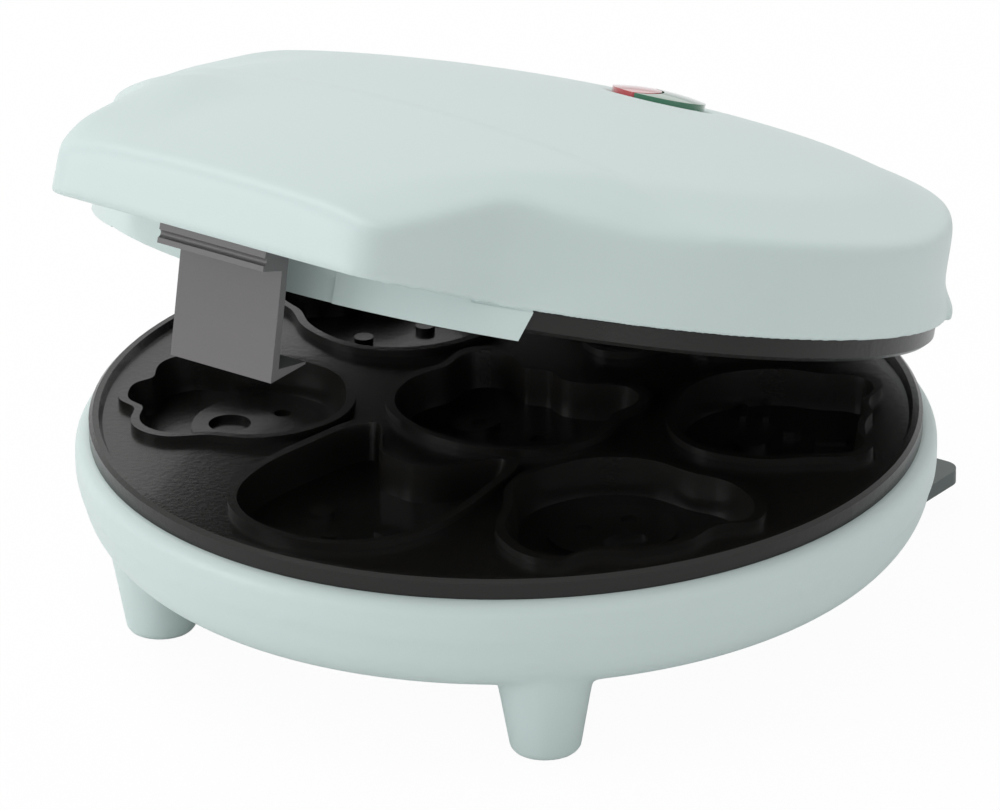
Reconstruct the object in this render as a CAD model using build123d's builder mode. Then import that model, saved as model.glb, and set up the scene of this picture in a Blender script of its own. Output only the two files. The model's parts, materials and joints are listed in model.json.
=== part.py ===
from build123d import *
from math import cos, radians, sin, tan
import os

# Animal waffle maker, in millimetres. X is to the right, Y to the rear, Z up.
# The origin is on the table, under the centre of the round cooking plates.
# The lid's pieces are drawn closed, then turned up about the hinge to the angle at rest.

# Cooking plates
PLATE_RADIUS = 109.0
PLATE_SEAT_Z = 50.1
LOWER_BAND = 5.2
UPPER_BAND = 5.7
PLATE_GAP = 0.5
PLATE_SKIN = 2.4
RIM_WIDTH = 2.6
FACE_DROP = 2.0
LOWER_DEPTH = 10.0
UPPER_DEPTH = 8.0
MOULD_DRAFT = 8.0
MOULD_REACH = 28.0
BEAD_WIDTH = 2.4
MOULD_SKIN = 2.0
MOULD_CIRCLE = 70.0
RELIEF = 1.6
SKIRT_DEPTH = 3.0
SKIRT_WALL = 2.4
SKIRT_INSET = 4.5
SKIRT_CLEAR = 0.5
LOWER_RIM_Z = PLATE_SEAT_Z + LOWER_BAND
UPPER_RIM_Z = LOWER_RIM_Z + PLATE_GAP
UPPER_SEAT_Z = UPPER_RIM_Z + UPPER_BAND

# Lower housing
BASE_RADIUS = 112.8
BASE_RIM_DROP = 4.2
BASE_LEDGE_Z = 38.9
BASE_LEDGE = 1.2
BASE_BELLY_RADIUS = 107.9
BASE_BELLY_Z = 27.9
BASE_FLOOR_Z = 22.0
BASE_FLOOR_RADIUS = 99.5
HOUSING_WALL = 2.5
LEG_X = 62.0
LEG_Y = 69.0
LEG_TOP_RADIUS = 12.6
LEG_FOOT_RADIUS = 9.0
LEG_FOOT_ROUND = 2.2
LEG_OVERLAP = 7.0
PAD_RADIUS = 5.6
PAD_DEPTH = 3.0
PAD_PROUD = 0.6

# Lid shell
LID_RADIUS = 111.5
LID_WALL_HEIGHT = 24.0
LID_SHOULDER_RADIUS = 95.5
LID_SHOULDER_HEIGHT = 12.5
LID_CROWN = 5.5
NOSE_FRONT = 141.5
NOSE_HALF_WIDTH = 47.5
NOSE_ROOT_HALF_WIDTH = 60.0
NOSE_ROOT_Y = 88.0
NOSE_CORNER = 9.0
NOSE_BLEND = 22.0
NOSE_RISE = 6.5
NOSE_TOP_Z = 86.6
NOSE_SLOPE = 14.8
NOSE_CROWN_RADIUS = 205.0
HOOD_BEAD = 1.4
HOOD_BEAD_HEIGHT = 4.0
HOOD_BEAD_Z = 62.0
HOOD_ARC = 124.0
LID_TOP_Z = UPPER_SEAT_Z + LID_WALL_HEIGHT + LID_SHOULDER_HEIGHT

# Apron under the lid's nose
APRON_CLEAR = 0.5
APRON_WALL = 1.9
APRON_DROP = 7.6
APRON_HALF_ANGLE = 37.0
APRON_NOTCH_HALF = 19.0
APRON_NOTCH_DEPTH = 0.9
NOSE_FLOOR_Z = 70.5
NOSE_FLOOR = 2.0
NOSE_FLOOR_CLEAR = 0.3

# Hinge
HINGE_Y = 120.5
HINGE_Z = 50.0
HINGE_PIN_RADIUS = 2.0
HINGE_BARREL_RADIUS = 6.0
HINGE_BARREL_HALF = 27.0
HINGE_LUG_WIDTH = 9.0
HINGE_SIDE_GAP = 0.4
HINGE_RUN = 0.05
LID_OPEN = 17.5

# Latch
LATCH_WIDTH = 31.5
LATCH_PLATE = 2.3
LATCH_BOTTOM_Z = 33.4
LATCH_FRONT_TOP = 129.3
LATCH_FRONT_BOTTOM = 125.4
LATCH_TIP_Y = 112.1
LATCH_TIP_GAP = 0.5
LATCH_TAB_FRONT = 137.6
LATCH_TAB_WIDTH = 33.0
LATCH_TAB_HEIGHT = 5.2
LATCH_TAB_TOP_Z = 67.4
LATCH_PIN_RADIUS = 1.5
LATCH_PIN_Y = 127.0
LATCH_PIN_Z = 69.0
LATCH_BARREL_RADIUS = 3.2
LATCH_RUN = 0.06
LATCH_EAR_WIDTH = 3.5
LATCH_HEEL = 5.0
LATCH_STOP_GAP = 0.05
LATCH_SIDE_GAP = 1.1
LATCH_SLOT_FRONT = 138.8
LATCH_SLOT_REAR = 121.5

# Heating and electrical pieces
ELEMENT_RADIUS = 3.2
ELEMENT_CIRCLE = 46.0
ELEMENT_GAP_ANGLE = 44.0
ELEMENT_TAIL = 8.0
ELEMENT_PIN = 4.0
ELEMENT_PIN_RADIUS = 1.2
ELEMENT_SEAT = 0.1
REFLECTOR_SHEET = 0.8
REFLECTOR_RADIUS = 98.0
REFLECTOR_LIP = 3.0
REFLECTOR_HOLE = 14.0
RIB_LENGTH = 14.0
RIB_WIDTH = 5.0
POST_CIRCLE = 92.0
POST_RADIUS = 4.5
POST_WALL = 1.6
POST_COUNT = 3
POST_START = 60.0
SCREW_RADIUS = 1.5
SCREW_HEAD_RADIUS = 3.0
SCREW_HEAD_HEIGHT = 2.2
SCREW_BITE = 8.0
SCREW_FIT = 0.05
BOSS_RECESS = 8.0
LOWER_REFLECTOR_Z = 35.0
UPPER_REFLECTOR_Z = 74.3
THERMOSTAT_RADIUS = 8.0
THERMOSTAT_HEIGHT = 6.5
FUSE_RADIUS = 2.0
FUSE_LENGTH = 12.0
BLOCK_LENGTH = 22.0
BLOCK_WIDTH = 12.0
BLOCK_HEIGHT = 9.0

# Signal window in the lid
LENS_RADIUS = 12.6
LENS_Y = 52.0
LENS_PROUD = 1.2
LENS_THICK = 3.0
LENS_GAP = 0.7
HOLDER_DROP = 9.0
HOLDER_SHEET = 2.0
LAMP_RADIUS = 2.6
LAMP_HEIGHT = 6.0

# Cord outlet and cord wrap at the rear
OUTLET_X = -14.0
OUTLET_Z = 30.5
OUTLET_FACE_Y = 111.6
OUTLET_RADIUS = 5.0
OUTLET_FLANGE_RADIUS = 7.5
OUTLET_FLANGE = 2.0
OUTLET_LENGTH = 12.0
OUTLET_BORE = 3.5
WRAP_HALF_WIDTH = 66.0
WRAP_REAR = 118.5
WRAP_FRONT = 82.5
WRAP_TOP_Z = 10.0
WRAP_SHEET = 4.0
WRAP_CORNER = 5.0
WRAP_POST_X = 30.0
WRAP_POST_Y = 88.0
WRAP_POST_RADIUS = 5.0

os.makedirs("parts", exist_ok=True)

HINGE_AXIS = Axis((0, HINGE_Y, HINGE_Z), (1, 0, 0))
UPRIGHT = (Align.CENTER, Align.CENTER, Align.MIN)
LEGS = [(LEG_X, LEG_Y), (-LEG_X, LEG_Y), (LEG_X, -LEG_Y), (-LEG_X, -LEG_Y)]


def outline_through(half):
    """Closed smooth outline through the points of its right half and their mirror images."""
    left = [(-x, y) for x, y in reversed(half[1:-1])]
    with BuildSketch() as outline:
        with BuildLine():
            Spline(*half, *left, periodic=True)
        make_face()
    return outline.sketch


def face_panda():
    outline = outline_through([
        (0, 23.5), (9, 22.6), (13.2, 24.6), (19.5, 27.4), (26, 24.6), (28, 18.6), (27, 12),
        (29.3, 4.5), (29.6, -3), (25.5, -13.5), (15, -21.6), (0, -24.6),
    ])
    with BuildSketch() as raised:
        with Locations(Location((-10.5, 2), -25), Location((10.5, 2), 25)):
            Ellipse(5.2, 6.8)
        with Locations((0, -8)):
            Ellipse(3.0, 2.0)
    with BuildSketch() as sunk:
        with Locations((-9.5, 2.5), (9.5, 2.5)):
            Circle(2.2)
    return outline, raised.sketch, sunk.sketch


def face_cat():
    outline = outline_through([
        (0, 25), (7, 26), (12, 31), (17.3, 38.6), (20.6, 40.8), (23.4, 37.6), (26.3, 25),
        (28, 10), (27.4, -3), (23, -15), (13.5, -23.4), (0, -26.4),
    ])
    with BuildSketch() as raised:
        with Locations((-10.5, 4), (10.5, 4)):
            Circle(3.4)
        with Locations((0, -7)):
            Ellipse(2.4, 1.6)
        with Locations((-4, -12.4), (4, -12.4)):
            Ellipse(3.4, 1.1)
    return outline, raised.sketch, None


def face_dog():
    outline = outline_through([
        (0, 29), (12, 26.4), (20.5, 19), (25.5, 9), (30.8, 1.5), (32.5, -8), (30, -18),
        (24.5, -22.3), (18.5, -20.6), (13.5, -21.6), (8, -24.8), (0, -26),
    ])
    with BuildSketch() as raised:
        with Locations((0, 3)):
            Ellipse(17, 15)
    with BuildSketch() as sunk:
        with Locations((-6.5, 7), (6.5, 7)):
            Circle(2.3)
        with Locations((0, -4.5)):
            Ellipse(6.2, 4.0)
    return outline, raised.sketch, sunk.sketch


def face_tiger():
    outline = outline_through([
        (0, 23.5), (8, 22.6), (12, 23.4), (17, 25.2), (23, 22.8), (25.3, 17), (25.6, 11),
        (27.6, 3), (27.2, -5), (22.5, -16.5), (12.5, -23.6), (0, -25.5),
    ])
    with BuildSketch() as raised:
        with Locations((0, -6)):
            Circle(4.2)
        with Locations((-8.5, 4), (8.5, 4)):
            Circle(2.6)
        with Locations((-3.2, 15), (3.2, 15)):
            Rectangle(1.6, 8)
        with Locations((-19, -3), (-19, -9), (19, -3), (19, -9)):
            Rectangle(7.5, 1.6)
    return outline, raised.sketch, None


def face_lamb():
    outline = outline_through([
        (0, 28), (13, 25), (22, 15.5), (25.2, 4), (24.2, -5), (25.8, -14), (21, -22.6),
        (14, -24.4), (9.4, -24.6), (6, -28), (0, -29.6),
    ])
    with BuildSketch() as raised:
        with Locations((0, 4)):
            Ellipse(18, 17)
    with BuildSketch() as sunk:
        with Locations((0, -3)):
            Circle(5.6)
        with Locations((-7.5, 10), (7.5, 10)):
            Circle(2.3)
    return outline, raised.sketch, sunk.sketch


def face_bear():
    outline = outline_through([
        (0, 24.5), (7.5, 23.6), (11, 24.6), (17, 26.8), (24, 23.5), (25.8, 17), (24.8, 10.5),
        (25.9, 3), (25.2, -6), (20, -17.5), (10.5, -24.6), (0, -26.6),
    ])
    with BuildSketch() as raised:
        with Locations((-9, 4), (9, 4)):
            Circle(2.6)
        with Locations((0, -7)):
            Ellipse(3.4, 2.4)
        with Locations((0, -14)):
            Rectangle(10, 1.6)
    return outline, raised.sketch, None


def face_elephant():
    outline = outline_through([
        (0, 24), (8, 22.6), (13, 19), (19, 19), (26, 15.5), (30, 6.5), (28, -4),
        (21.5, -9.6), (15.5, -10), (11.4, -14.6), (8, -21.6), (0, -25.5),
    ])
    with BuildSketch() as raised:
        with Locations((-8, 5), (8, 5)):
            Circle(2.4)
        with Locations((0, -9)):
            Ellipse(3.2, 10)
    return outline, raised.sketch, None


def ring_spot(angle, up_is_outward):
    """Place of an outer mould: its head points at the rim or at the centre."""
    turn = angle - 90 if up_is_outward else angle + 90
    x = MOULD_CIRCLE * cos(radians(angle))
    y = MOULD_CIRCLE * sin(radians(angle))
    return Location((x, y, 0), (0, 0, turn))


MOULDS = [
    (face_panda(), Location((0, -1, 0))),
    (face_cat(), ring_spot(270, False)),
    (face_dog(), ring_spot(330, False)),
    (face_tiger(), ring_spot(30, True)),
    (face_elephant(), ring_spot(90, True)),
    (face_bear(), ring_spot(150, True)),
    (face_lamb(), ring_spot(210, False)),
]


def layer(index):
    """All raised or all sunk reliefs, laid out on the plate."""
    placed = []
    for sketches, spot in MOULDS:
        if sketches[index] is not None:
            placed += [face.moved(spot) for face in sketches[index].faces()]
    return placed


RAISED = layer(1)
SUNK = layer(2)


def plate_blank(seat_z, rim_z, up):
    """Dish of a cooking plate: outer band, skin and the skirt that enters the housing."""
    face_z = rim_z - up * FACE_DROP
    back_z = face_z - up * PLATE_SKIN
    skirt_z = seat_z - up * SKIRT_DEPTH
    inner = PLATE_RADIUS - RIM_WIDTH
    skirt_out = PLATE_RADIUS - SKIRT_INSET
    with BuildPart() as blank:
        with BuildSketch(Plane.XZ):
            with BuildLine():
                Polyline(
                    (0, face_z), (inner - 1, face_z), (inner, rim_z), (PLATE_RADIUS - 1, rim_z),
                    (PLATE_RADIUS, rim_z - up), (PLATE_RADIUS, seat_z), (skirt_out, seat_z),
                    (skirt_out, skirt_z), (skirt_out - SKIRT_WALL, skirt_z),
                    (skirt_out - SKIRT_WALL, back_z), (0, back_z), close=True,
                )
            make_face()
        revolve(axis=Axis.Z)
    return blank.part, face_z, back_z


def scaled_outlines(grow):
    """The mould outlines grown or shrunk by about so many millimetres, in place."""
    with BuildSketch() as grown:
        for sketches, spot in MOULDS:
            add(sketches[0].scale(1 + grow / MOULD_REACH).moved(spot))
    return grown.sketch.faces()


def mould_cavities(depth):
    """The seven hollows, with their mouths on Z = 0 and narrowing upwards."""
    mouths = scaled_outlines(0)
    floors = scaled_outlines(-depth * tan(radians(MOULD_DRAFT)))
    with BuildPart() as cavities:
        for mouth, floor in zip(mouths, floors):
            with BuildSketch():
                add(mouth)
            with BuildSketch(Plane.XY.offset(depth)):
                add(floor)
            loft()
    return cavities.part


def cooking_plate(seat_z, rim_z, depth, up, post_end_z):
    """One cast plate with its seven moulds; up is 1 for the lower plate and -1 for the upper."""
    blank, face_z, back_z = plate_blank(seat_z, rim_z, up)
    cavities = mould_cavities(depth)
    if up > 0:
        cavities = cavities.mirror(Plane.XY)
    floor_z = rim_z - up * depth
    away = (0, 0, -up)
    toward = (0, 0, up)
    with BuildPart() as plate:
        add(blank)
        with BuildSketch(Plane.XY.offset(face_z)):
            add(scaled_outlines(BEAD_WIDTH))
        extrude(amount=FACE_DROP, dir=toward)
        with BuildSketch(Plane.XY.offset(back_z)):
            add(scaled_outlines(MOULD_SKIN))
        extrude(amount=depth + MOULD_SKIN - FACE_DROP - PLATE_SKIN, dir=away)
        with PolarLocations(POST_CIRCLE, POST_COUNT, start_angle=POST_START):
            with Locations((0, 0, (back_z + post_end_z) / 2)):
                Cylinder(POST_RADIUS, abs(back_z - post_end_z))
        add(cavities.moved(Location((0, 0, rim_z))), mode=Mode.SUBTRACT)
        with BuildSketch(Plane.XY.offset(floor_z)):
            add(RAISED)
        extrude(amount=RELIEF, dir=toward)
        with BuildSketch(Plane.XY.offset(floor_z + up * RELIEF)):
            add(SUNK)
        extrude(amount=RELIEF, dir=away, mode=Mode.SUBTRACT)
        with PolarLocations(POST_CIRCLE, POST_COUNT, start_angle=POST_START):
            with Locations((0, 0, post_end_z + up * SCREW_BITE / 2)):
                Cylinder(SCREW_RADIUS + SCREW_FIT, SCREW_BITE, mode=Mode.SUBTRACT)
    return plate.part


def bowl_space():
    """The room inside the lower housing, used to hollow it out."""
    inner = BASE_RADIUS - HOUSING_WALL
    seat = PLATE_RADIUS - SKIRT_INSET + SKIRT_CLEAR
    floor = BASE_FLOOR_Z + HOUSING_WALL
    shelf_z = PLATE_SEAT_Z - SKIRT_DEPTH
    with BuildPart() as space:
        with BuildSketch(Plane.XZ):
            with BuildLine():
                Polyline(
                    (0, floor), (0, PLATE_SEAT_Z + 1), (seat, PLATE_SEAT_Z + 1), (seat, shelf_z),
                    (inner, shelf_z - 3), (inner, BASE_LEDGE_Z + HOUSING_WALL),
                    (inner - BASE_LEDGE, BASE_LEDGE_Z),
                )
                ThreePointArc(
                    (inner - BASE_LEDGE, BASE_LEDGE_Z),
                    (BASE_BELLY_RADIUS - HOUSING_WALL, BASE_BELLY_Z + HOUSING_WALL / 2),
                    (BASE_FLOOR_RADIUS - HOUSING_WALL / 2, floor),
                )
                Line((BASE_FLOOR_RADIUS - HOUSING_WALL / 2, floor), (0, floor))
            make_face()
        revolve(axis=Axis.Z)
    return space.part


def bowl_blank():
    """Outside of the lower housing as one turned solid."""
    rim = PLATE_RADIUS + 0.2
    round_middle = (BASE_RADIUS - 1.0, PLATE_SEAT_Z - 1.3)
    ledge = BASE_RADIUS - BASE_LEDGE
    with BuildPart() as blank:
        with BuildSketch(Plane.XZ):
            with BuildLine():
                Polyline((0, BASE_FLOOR_Z), (0, PLATE_SEAT_Z), (rim, PLATE_SEAT_Z))
                ThreePointArc(
                    (rim, PLATE_SEAT_Z), round_middle, (BASE_RADIUS, PLATE_SEAT_Z - BASE_RIM_DROP)
                )
                Polyline(
                    (BASE_RADIUS, PLATE_SEAT_Z - BASE_RIM_DROP), (BASE_RADIUS, BASE_LEDGE_Z),
                    (ledge, BASE_LEDGE_Z),
                )
                ThreePointArc(
                    (ledge, BASE_LEDGE_Z), (BASE_BELLY_RADIUS, BASE_BELLY_Z),
                    (BASE_FLOOR_RADIUS, BASE_FLOOR_Z),
                )
                Line((BASE_FLOOR_RADIUS, BASE_FLOOR_Z), (0, BASE_FLOOR_Z))
            make_face()
        revolve(axis=Axis.Z)
    return blank.part


def side_plane(x):
    """A plane across X whose own axes are the object's Y and Z."""
    return Plane(origin=(x, 0, 0), x_dir=(0, 1, 0), z_dir=(1, 0, 0))


def hinge_lug_profile():
    """Side view of an arm that carries the hinge pin."""
    root = BASE_RADIUS - 10
    with BuildSketch() as profile:
        with Locations((HINGE_Y, HINGE_Z)):
            Circle(HINGE_BARREL_RADIUS)
        with Locations((root, BASE_LEDGE_Z + 1)):
            Circle(4)
        with Locations((root, BASE_LEDGE_Z - 7)):
            Circle(2)
        make_hull()
    return profile.sketch


def leg_radius(z):
    """Radius of a tapered leg at a height."""
    spread = (LEG_TOP_RADIUS - LEG_FOOT_RADIUS) / (BASE_FLOOR_Z - PAD_PROUD)
    return LEG_FOOT_RADIUS + spread * (z - PAD_PROUD)


def leg():
    """One hollow tapered leg with a rounded sole and a socket for its pad."""
    top = BASE_FLOOR_Z + LEG_OVERLAP
    inside = PAD_DEPTH + HOUSING_WALL
    with BuildPart() as one:
        with Locations((0, 0, PAD_PROUD)):
            Cone(leg_radius(PAD_PROUD), leg_radius(top), top - PAD_PROUD, align=UPRIGHT)
        fillet(one.edges().group_by(Axis.Z)[0], LEG_FOOT_ROUND)
        with Locations((0, 0, inside)):
            Cone(
                leg_radius(inside) - HOUSING_WALL, leg_radius(top) - HOUSING_WALL, top - inside,
                align=UPRIGHT, mode=Mode.SUBTRACT,
            )
        with Locations((0, 0, PAD_PROUD)):
            Cylinder(PAD_RADIUS, PAD_DEPTH - PAD_PROUD, align=UPRIGHT, mode=Mode.SUBTRACT)
    return one.part


def lower_housing():
    lug_x = HINGE_BARREL_HALF + HINGE_SIDE_GAP
    boss_height = LOWER_REFLECTOR_Z - BASE_FLOOR_Z
    leg_top = BASE_FLOOR_Z + LEG_OVERLAP
    with BuildPart() as housing:
        add(bowl_blank())
        for x in (-lug_x - HINGE_LUG_WIDTH, lug_x):
            with BuildSketch(side_plane(x)):
                add(hinge_lug_profile())
            extrude(amount=HINGE_LUG_WIDTH)
        with Locations((OUTLET_X, OUTLET_FACE_Y - 6, OUTLET_Z)):
            Cylinder(OUTLET_FLANGE_RADIUS + 1, 12, rotation=(90, 0, 0))
        with Locations(*LEGS):
            with Locations((0, 0, BASE_FLOOR_Z - 1)):
                Cylinder(leg_radius(BASE_FLOOR_Z), 2, align=UPRIGHT)
        add(bowl_space(), mode=Mode.SUBTRACT)
        with Locations(*LEGS):
            with Locations((0, 0, BASE_FLOOR_Z)):
                Cone(
                    leg_radius(BASE_FLOOR_Z) - HOUSING_WALL, leg_radius(leg_top) - HOUSING_WALL,
                    LEG_OVERLAP, align=UPRIGHT, mode=Mode.SUBTRACT,
                )
        with Locations(*LEGS):
            add(leg())
        with PolarLocations(POST_CIRCLE, POST_COUNT, start_angle=POST_START):
            with Locations((0, 0, BASE_FLOOR_Z)):
                Cylinder(POST_RADIUS + 1, boss_height, align=UPRIGHT)
        with PolarLocations(POST_CIRCLE, POST_COUNT, start_angle=POST_START):
            with Locations((0, 0, BASE_FLOOR_Z)):
                Cylinder(
                    SCREW_HEAD_RADIUS + 0.4, BOSS_RECESS, align=UPRIGHT, mode=Mode.SUBTRACT
                )
                Cylinder(
                    SCREW_RADIUS + SCREW_FIT, boss_height, align=UPRIGHT, mode=Mode.SUBTRACT
                )
        with Locations((0, HINGE_Y, HINGE_Z)):
            Cylinder(
                HINGE_PIN_RADIUS, 3 * (lug_x + HINGE_LUG_WIDTH), rotation=(0, 90, 0),
                mode=Mode.SUBTRACT,
            )
        with Locations((OUTLET_X, OUTLET_FACE_Y, OUTLET_Z)):
            Cylinder(OUTLET_RADIUS, 30, rotation=(90, 0, 0), mode=Mode.SUBTRACT)
        with Locations((WRAP_POST_X, WRAP_POST_Y), (-WRAP_POST_X, WRAP_POST_Y)):
            with Locations((0, 0, BASE_FLOOR_Z)):
                Cylinder(SCREW_RADIUS + SCREW_FIT, 6, align=UPRIGHT, mode=Mode.SUBTRACT)
    return housing.part


def foot_pads():
    with BuildPart() as pads:
        with Locations(*LEGS):
            Cylinder(PAD_RADIUS, PAD_DEPTH, align=UPRIGHT)
    return pads.part


def heating_element(centre_z):
    """Tubular element: an open ring with straight cold ends and thin terminal pins."""
    start = 90 + ELEMENT_GAP_ANGLE / 2
    with BuildPart() as element:
        with BuildLine(Plane.XY.offset(centre_z)) as path:
            ring = CenterArc((0, 0), ELEMENT_CIRCLE, start, 360 - ELEMENT_GAP_ANGLE)
        with BuildSketch(Plane(origin=path.line @ 0, z_dir=path.line % 0)):
            Circle(ELEMENT_RADIUS)
        sweep(path=ring)
        for point, along in ((ring @ 0, (ring % 0) * -1), (ring @ 1, ring % 1)):
            with BuildSketch(Plane(origin=point, z_dir=along)):
                Circle(ELEMENT_RADIUS)
            extrude(amount=ELEMENT_TAIL)
            with BuildSketch(Plane(origin=point, z_dir=along)):
                Circle(ELEMENT_PIN_RADIUS)
            extrude(amount=ELEMENT_TAIL + ELEMENT_PIN)
    return element.part


def reflector(sheet_z, up, rib_height):
    """Pressed steel dish behind a plate; its ribs press the element on the moulds."""
    toward = (0, 0, up)
    with BuildPart() as dish:
        with BuildSketch(Plane.XY.offset(sheet_z)):
            Circle(REFLECTOR_RADIUS)
            Circle(REFLECTOR_HOLE, mode=Mode.SUBTRACT)
            with PolarLocations(POST_CIRCLE, POST_COUNT, start_angle=POST_START):
                Circle(SCREW_RADIUS + SCREW_FIT, mode=Mode.SUBTRACT)
        extrude(amount=REFLECTOR_SHEET, dir=toward)
        with BuildSketch(Plane.XY.offset(sheet_z)):
            Circle(REFLECTOR_RADIUS)
            Circle(REFLECTOR_RADIUS - REFLECTOR_SHEET, mode=Mode.SUBTRACT)
        extrude(amount=REFLECTOR_LIP, dir=toward)
        with BuildSketch(Plane.XY.offset(sheet_z)):
            with PolarLocations(ELEMENT_CIRCLE, 3, start_angle=30):
                SlotOverall(RIB_LENGTH, RIB_WIDTH)
        extrude(amount=rib_height, dir=toward)
    return dish.part


def screws(circle, count, start, seat_z, shank, up):
    """Pan-head screws on a circle; the shank points up or down from the seat of the head."""
    with BuildPart() as group:
        with PolarLocations(circle, count, start_angle=start):
            with Locations((0, 0, seat_z - up * SCREW_HEAD_HEIGHT / 2)):
                Cylinder(SCREW_HEAD_RADIUS, SCREW_HEAD_HEIGHT)
            with Locations((0, 0, seat_z + up * shank / 2)):
                Cylinder(SCREW_RADIUS, shank)
    return group.part


def thermostat(top_z):
    """Disc thermostat with its two spade terminals, pressed up against the middle mould."""
    with BuildPart() as unit:
        with Locations((0, 0, top_z - THERMOSTAT_HEIGHT)):
            Cylinder(THERMOSTAT_RADIUS, THERMOSTAT_HEIGHT, align=UPRIGHT)
            Cylinder(THERMOSTAT_RADIUS + 2, 1.2, align=UPRIGHT)
        with Locations((-5, 0, top_z - THERMOSTAT_HEIGHT - 2), (5, 0, top_z - THERMOSTAT_HEIGHT - 2)):
            Box(1, 6, 4)
    return unit.part


def thermal_fuse(top_z):
    with BuildPart() as fuse:
        with Locations((0, -18, top_z - FUSE_RADIUS)):
            Cylinder(FUSE_RADIUS, FUSE_LENGTH, rotation=(0, 90, 0))
            Cylinder(FUSE_RADIUS / 3, FUSE_LENGTH + 8, rotation=(0, 90, 0))
    return fuse.part


def terminal_block():
    floor = BASE_FLOOR_Z + HOUSING_WALL
    with BuildPart() as block:
        with Locations((OUTLET_X, OUTLET_FACE_Y - 32, floor)):
            Box(BLOCK_LENGTH, BLOCK_WIDTH, BLOCK_HEIGHT, align=UPRIGHT)
        chamfer(block.edges().group_by(Axis.Z)[-1], 1)
        with Locations((OUTLET_X, OUTLET_FACE_Y - 32, floor + BLOCK_HEIGHT)):
            with GridLocations(BLOCK_LENGTH / 3, 1, 3, 1):
                Cylinder(2, 5, mode=Mode.SUBTRACT)
    return block.part


def cord_outlet():
    """Strain-relief bush through the rear wall, seated on its boss."""
    with BuildPart() as bush:
        with Locations((OUTLET_X, OUTLET_FACE_Y + OUTLET_FLANGE / 2, OUTLET_Z)):
            Cylinder(OUTLET_FLANGE_RADIUS, OUTLET_FLANGE, rotation=(90, 0, 0))
        with Locations((OUTLET_X, OUTLET_FACE_Y + OUTLET_FLANGE - OUTLET_LENGTH / 2, OUTLET_Z)):
            Cylinder(OUTLET_RADIUS, OUTLET_LENGTH, rotation=(90, 0, 0))
        with Locations((OUTLET_X, OUTLET_FACE_Y, OUTLET_Z)):
            Cylinder(OUTLET_BORE, 3 * OUTLET_LENGTH, rotation=(90, 0, 0), mode=Mode.SUBTRACT)
    return bush.part


def cord_wrap():
    """Flat bracket under the rear of the bowl, on two posts."""
    depth = WRAP_REAR - WRAP_FRONT
    posts = [(WRAP_POST_X, WRAP_POST_Y), (-WRAP_POST_X, WRAP_POST_Y)]
    with BuildPart() as wrap:
        with BuildSketch(Plane.XY.offset(WRAP_TOP_Z - WRAP_SHEET)) as plan:
            with Locations((0, (WRAP_REAR + WRAP_FRONT) / 2)):
                Rectangle(2 * WRAP_HALF_WIDTH, depth)
            fillet(plan.vertices(), WRAP_CORNER)
        extrude(amount=WRAP_SHEET)
        with Locations(*posts):
            with Locations((0, 0, WRAP_TOP_Z - WRAP_SHEET)):
                Cylinder(WRAP_POST_RADIUS, BASE_FLOOR_Z - WRAP_TOP_Z + WRAP_SHEET, align=UPRIGHT)
            with Locations((0, 0, BASE_FLOOR_Z - SCREW_BITE)):
                Cylinder(SCREW_RADIUS + SCREW_FIT, SCREW_BITE, align=UPRIGHT, mode=Mode.SUBTRACT)
    return wrap.part


def cord_wrap_screws():
    seat_z = BASE_FLOOR_Z + HOUSING_WALL
    shank = SCREW_BITE + HOUSING_WALL - 1
    with BuildPart() as group:
        with Locations((WRAP_POST_X, WRAP_POST_Y), (-WRAP_POST_X, WRAP_POST_Y)):
            with Locations((0, 0, seat_z)):
                Cylinder(SCREW_HEAD_RADIUS, SCREW_HEAD_HEIGHT, align=UPRIGHT)
            with Locations((0, 0, seat_z - shank / 2)):
                Cylinder(SCREW_RADIUS, shank)
    return group.part


def hinge_pins():
    """Two steel pins, pressed into the lugs and running in the lid's barrel."""
    length = HINGE_LUG_WIDTH + HINGE_SIDE_GAP + HINGE_BARREL_HALF * 0.55
    middle = HINGE_BARREL_HALF + HINGE_SIDE_GAP + HINGE_LUG_WIDTH - length / 2
    with BuildPart() as pins:
        with Locations((middle, HINGE_Y, HINGE_Z), (-middle, HINGE_Y, HINGE_Z)):
            Cylinder(HINGE_PIN_RADIUS, length, rotation=(0, 90, 0))
    return pins.part


def nose_outline(inset):
    """Plan of the wide nose, blended into the round wall; inset moves it inwards."""
    front = -(NOSE_FRONT - inset)
    half = NOSE_HALF_WIDTH - inset
    root = NOSE_ROOT_HALF_WIDTH - inset
    with BuildSketch() as plan:
        Circle(LID_RADIUS - inset)
        Polygon((-half, front), (half, front), (root, -NOSE_ROOT_Y), (-root, -NOSE_ROOT_Y), align=None)
        corners = plan.vertices().sort_by(Axis.Y)
        fillet(corners[0:2], NOSE_CORNER - inset)
        joints = plan.vertices().filter_by_position(Axis.Y, -110, -80)
        fillet(joints, NOSE_BLEND)
        with Locations((0, 60)):
            Rectangle(300, 240, mode=Mode.SUBTRACT)
    return plan.sketch


def crown_slab(drop):
    """Everything under the nose's sloping, crowned top; drop lowers that surface."""
    top = NOSE_TOP_Z - drop
    radius = NOSE_CROWN_RADIUS
    slope = radians(NOSE_SLOPE)
    with BuildPart() as slab:
        with BuildSketch(Plane(origin=(0, -NOSE_FRONT, 0), x_dir=(1, 0, 0), z_dir=(0, -1, 0))):
            with BuildLine():
                ThreePointArc(
                    (-90, top - radius + (radius**2 - 90**2) ** 0.5), (0, top),
                    (90, top - radius + (radius**2 - 90**2) ** 0.5),
                )
                Polyline(
                    (90, top - radius + (radius**2 - 90**2) ** 0.5), (90, 0), (-90, 0),
                    (-90, top - radius + (radius**2 - 90**2) ** 0.5),
                )
            make_face()
        extrude(amount=90, dir=(0, cos(slope), sin(slope)))
    return slab.part


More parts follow.
